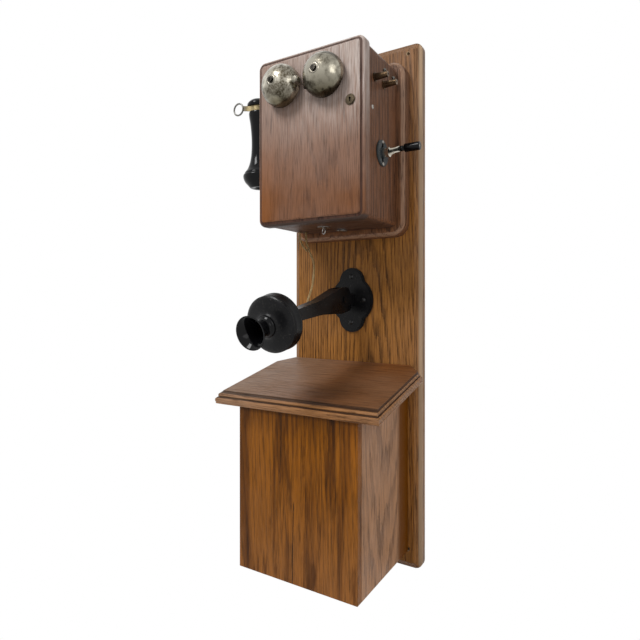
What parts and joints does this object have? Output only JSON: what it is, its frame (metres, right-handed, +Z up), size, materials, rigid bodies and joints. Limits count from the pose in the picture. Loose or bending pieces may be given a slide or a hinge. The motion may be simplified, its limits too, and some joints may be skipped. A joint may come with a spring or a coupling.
{
  "type": "wall telephone",
  "caption": "Wooden wall telephone: long backboard, ringer box with gongs, hand crank and hung receiver, tilting transmitter arm and a battery box under a sloping shelf.",
  "frame": {"origin": "centre of the backboard's rear face, which lies on the wall", "axes": "+X to the user's right, +Y into the wall, +Z up"},
  "size_m": [0.3415, 0.317, 0.914],
  "materials": {
    "board_oak": "golden brown oak, shellac, worn",
    "case_oak": "red-brown oak, satin shellac",
    "door_oak": "red-brown oak, satin shellac with a grey bloom",
    "battery_oak": "amber oak with dark grain, satin shellac",
    "shelf_oak": "brown oak, satin shellac",
    "aged_nickel": "aged nickel plate, tarnished in patches",
    "brass": "aged brass",
    "steel": "plain steel",
    "black_iron": "black japanned iron, worn",
    "ebonite": "polished hard rubber",
    "magnet_enamel": "red enamel",
    "coil_wrap": "waxed cotton winding",
    "cell_paper": null,
    "textile": "braided tan cotton"
  },
  "bodies": {
    "cabinet": {"backboard": "board_oak", "sub_base": "case_oak", "ringer_side_left": "case_oak", "ringer_side_right": "case_oak", "ringer_top": "case_oak", "ringer_bottom": "case_oak", "fixed_hinge_leaves": "brass", "hinge_pins": "steel", "binding_posts": "aged_nickel", "binding_post_screws": "black_iron", "crank_plate": "black_iron", "round_head_screws": "black_iron", "generator_frame": "steel", "generator_magnets": "magnet_enamel", "induction_coil": "coil_wrap", "hook_bracket": "steel", "hook_springs": "brass", "underside_fittings": "aged_nickel", "transmitter_plate": "black_iron", "battery_front": "battery_oak", "battery_side_left": "battery_oak", "battery_side_right": "battery_oak", "battery_bottom": "battery_oak", "dry_cells": "cell_paper", "cell_terminals": "brass", "cord_long": "textile", "cord_short": "textile", "cord_ferrules": "brass"},
    "door": {"door_panel": "door_oak", "door_hinge_leaves": "brass", "gong_left": "aged_nickel", "gong_right": "aged_nickel", "gong_posts": "steel", "gong_screws": "steel", "lock_case": "brass", "lock_escutcheon": "brass", "ringer_frame": "steel", "ringer_coils": "coil_wrap", "ringer_magnet": "magnet_enamel"},
    "clapper": {"clapper": "steel"},
    "bolt": {"lock_bolt": "steel"},
    "crank": {"crank_shaft": "steel", "crank_arm": "aged_nickel", "drive_gear": "brass"},
    "grip": {"crank_grip": "ebonite"},
    "armature": {"generator_armature": "coil_wrap"},
    "hook": {"switch_hook": "brass"},
    "receiver": {"receiver_shell": "ebonite", "receiver_tail_cap": "ebonite", "receiver_ear_cap": "ebonite", "receiver_diaphragm": "steel", "receiver_magnet": "steel"},
    "transmitter": {"transmitter_arm": "black_iron", "pivot_bolt": "black_iron", "transmitter_cup": "black_iron", "transmitter_face": "black_iron", "mouthpiece": "ebonite", "transmitter_button": "brass"},
    "shelf": {"shelf_lid": "shelf_oak", "lid_hinge_leaves": "brass"}
  },
  "joints": [
    {"name": "door_swing", "type": "hinge", "parent": "cabinet", "child": "door", "pos_m": [-0.1038, -0.1535, 0.2715], "axis": [0, 0, -1], "range_deg": [0, 110]},
    {"name": "clapper_swing", "type": "hinge", "parent": "door", "child": "clapper", "pos_m": [-0.0028, -0.172, 0.321], "axis": [0, 1, 0], "range_deg": [-3, 3]},
    {"name": "bolt_slide", "type": "slide", "parent": "door", "child": "bolt", "axis": [1, 0, 0], "range_m": [0, 0.005]},
    {"name": "crank_turn", "type": "hinge", "parent": "cabinet", "child": "crank", "pos_m": [0.103, -0.101, 0.247], "axis": [1, 0, 0], "continuous": true},
    {"name": "grip_turn", "type": "hinge", "parent": "crank", "child": "grip", "pos_m": [0.127, -0.07908, 0.25676], "axis": [1, 0, 0], "continuous": true},
    {"name": "armature_turn", "type": "hinge", "parent": "cabinet", "child": "armature", "pos_m": [0.028, -0.101, 0.211], "axis": [1, 0, 0], "continuous": true},
    {"name": "hook_lift", "type": "hinge", "parent": "cabinet", "child": "hook", "pos_m": [-0.07, -0.11, 0.359], "axis": [0, 1, 0], "range_deg": [0, 10], "stiffness_Nm_per_rad": 0.4, "springref_deg": 20.05},
    {"name": "receiver_off", "type": "slide", "parent": "hook", "child": "receiver", "axis": [-1, 0, 0], "range_m": [0, 0.12]},
    {"name": "arm_tilt", "type": "hinge", "parent": "cabinet", "child": "transmitter", "pos_m": [0, -0.0715, 0.0106], "axis": [-1, 0, 0], "range_deg": [-15, 25], "deforming": ["cord_long", "cord_short"]},
    {"name": "shelf_lift", "type": "hinge", "parent": "cabinet", "child": "shelf", "pos_m": [0, -0.0248, -0.1059], "axis": [-1, 0, 0], "range_deg": [0, 32]}
  ],
  "couplings": [
    {"joint": "armature_turn", "follows": "crank_turn", "ratio": -5}
  ]
}
